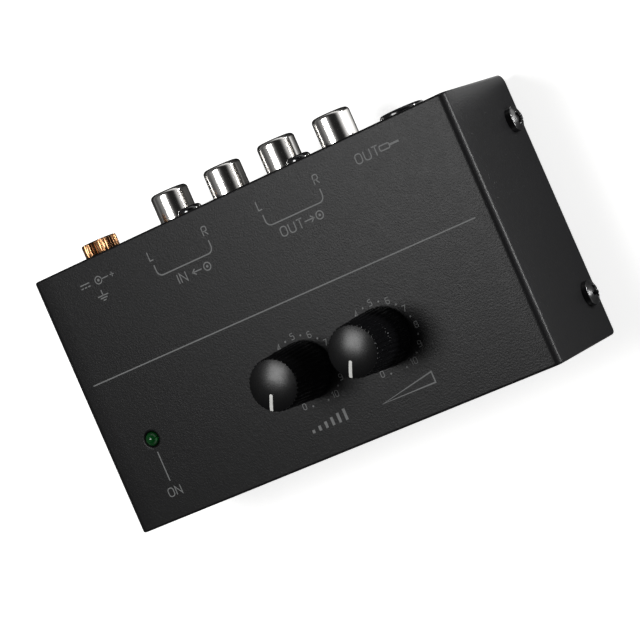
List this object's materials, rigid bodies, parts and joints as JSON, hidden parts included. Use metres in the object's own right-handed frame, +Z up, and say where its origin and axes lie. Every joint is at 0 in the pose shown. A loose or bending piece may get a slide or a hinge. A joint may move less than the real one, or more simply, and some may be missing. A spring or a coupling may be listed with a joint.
{
  "type": "phono preamp",
  "caption": "Small folded-steel phono preamp: two ribbed dials and a lamp on top; phono, phone and power sockets and a ground screw at the back.",
  "frame": {"origin": "middle of the footprint's bounding box, on the table under the feet", "axes": "+X to the right along the case's long side, seen from the front; +Y from front to back, towards the sockets; +Z up"},
  "size_m": [0.108, 0.0644, 0.0495],
  "materials": {
    "top_cover": "fine-textured dark grey powder coat",
    "base_tray": "fine-textured dark grey powder coat",
    "cover_screws": "glossy black zinc",
    "rubber_feet": "matt black rubber",
    "main_board": "green solder mask over glass-epoxy",
    "board_standoffs": "turned, zinc plated",
    "board_screws": "zinc plated",
    "level_knob": "satin black",
    "level_pointer": "white",
    "volume_knob": "satin black",
    "volume_pointer": "white",
    "level_pot_body": "moulded, dark",
    "level_pot_bush": "die-cast zinc",
    "level_pot_shaft": "turned",
    "level_pot_wipers": "natural nylon",
    "level_pot_tracks": "phenolic wafer with carbon track",
    "level_pot_pins": "tinned",
    "volume_pot_body": "moulded, dark",
    "volume_pot_bush": "die-cast zinc",
    "volume_pot_shaft": "turned",
    "volume_pot_wipers": "natural nylon",
    "volume_pot_tracks": "phenolic wafer with carbon track",
    "volume_pot_pins": "tinned",
    "power_led": "clear green epoxy",
    "led_leads": "tinned",
    "led_spacer": "natural nylon",
    "input_jack_block": "moulded black",
    "output_jack_block": "moulded black",
    "jack_screws": "glossy black zinc",
    "phono_terminals": "tinned",
    "input_left_barrel": "bright nickel",
    "input_right_barrel": "bright nickel",
    "output_left_barrel": "bright nickel",
    "output_right_barrel": "bright nickel",
    "input_left_insulator": "white",
    "input_right_insulator": "red",
    "output_left_insulator": "white",
    "output_right_insulator": "red",
    "input_left_contact": "plated",
    "input_right_contact": "plated",
    "output_left_contact": "plated",
    "output_right_contact": "plated",
    "phone_jack_body": "moulded black",
    "phone_sleeve_contact": "nickel plated",
    "phone_ring_contact": "phosphor bronze spring",
    "phone_tip_contact": "phosphor bronze spring",
    "dc_inlet_body": "moulded black",
    "dc_centre_pin": "nickel plated",
    "dc_spring_contact": "nickel plated",
    "ground_screw": "gold plated, knurled",
    "ground_washer": "plated",
    "ground_nut": "turned",
    "ground_lug": "tinned",
    "ground_link": "tinned",
    "op_amps": "black epoxy",
    "voltage_regulator": "black epoxy",
    "electrolytic_capacitors": "dark blue sleeve",
    "film_capacitors": "red moulded box",
    "resistors": "light blue lacquer",
    "protection_diode": "black epoxy"
  },
  "bodies": {
    "case": {"top_cover": "top_cover", "base_tray": "base_tray", "cover_screws": "cover_screws", "rubber_feet": "rubber_feet", "main_board": "main_board", "board_standoffs": "board_standoffs", "board_screws": "board_screws", "level_pot_body": "level_pot_body", "level_pot_bush": "level_pot_bush", "level_pot_tracks": "level_pot_tracks", "level_pot_pins": "level_pot_pins", "volume_pot_body": "volume_pot_body", "volume_pot_bush": "volume_pot_bush", "volume_pot_tracks": "volume_pot_tracks", "volume_pot_pins": "volume_pot_pins", "power_led": "power_led", "led_leads": "led_leads", "led_spacer": "led_spacer", "input_jack_block": "input_jack_block", "output_jack_block": "output_jack_block", "jack_screws": "jack_screws", "phono_terminals": "phono_terminals", "input_left_barrel": "input_left_barrel", "input_right_barrel": "input_right_barrel", "output_left_barrel": "output_left_barrel", "output_right_barrel": "output_right_barrel", "input_left_insulator": "input_left_insulator", "input_right_insulator": "input_right_insulator", "output_left_insulator": "output_left_insulator", "output_right_insulator": "output_right_insulator", "input_left_contact": "input_left_contact", "input_right_contact": "input_right_contact", "output_left_contact": "output_left_contact", "output_right_contact": "output_right_contact", "phone_jack_body": "phone_jack_body", "phone_sleeve_contact": "phone_sleeve_contact", "phone_ring_contact": "phone_ring_contact", "phone_tip_contact": "phone_tip_contact", "dc_inlet_body": "dc_inlet_body", "dc_centre_pin": "dc_centre_pin", "dc_spring_contact": "dc_spring_contact", "ground_nut": "ground_nut", "ground_lug": "ground_lug", "ground_link": "ground_link", "op_amps": "op_amps", "voltage_regulator": "voltage_regulator", "electrolytic_capacitors": "electrolytic_capacitors", "film_capacitors": "film_capacitors", "resistors": "resistors", "protection_diode": "protection_diode"},
    "level_dial": {"level_knob": "level_knob", "level_pointer": "level_pointer", "level_pot_shaft": "level_pot_shaft", "level_pot_wipers": "level_pot_wipers"},
    "volume_dial": {"volume_knob": "volume_knob", "volume_pointer": "volume_pointer", "volume_pot_shaft": "volume_pot_shaft", "volume_pot_wipers": "volume_pot_wipers"},
    "ground_washer": {"ground_washer": "ground_washer"},
    "ground_screw": {"ground_screw": "ground_screw"}
  },
  "joints": [
    {"name": "level_turn", "type": "hinge", "parent": "case", "child": "level_dial", "pos_m": [0, -0.01385, 0.0336], "axis": [0, 0, 1], "range_deg": [-300, 0]},
    {"name": "volume_turn", "type": "hinge", "parent": "case", "child": "volume_dial", "pos_m": [0.0192, -0.01385, 0.0336], "axis": [0, 0, 1], "range_deg": [-300, 0]},
    {"name": "ground_screw_travel", "type": "slide", "parent": "case", "child": "ground_washer", "axis": [0, 1, 0], "range_m": [0, 0.0035]},
    {"name": "ground_screw_turn", "type": "hinge", "parent": "ground_washer", "child": "ground_screw", "pos_m": [-0.0371, 0.0253, 0.0266], "axis": [0, 1, 0], "range_deg": [0, 1800]}
  ],
  "couplings": [
    {"joint": "ground_screw_turn", "follows": "ground_screw_travel", "rad_per_m": 8976}
  ]
}
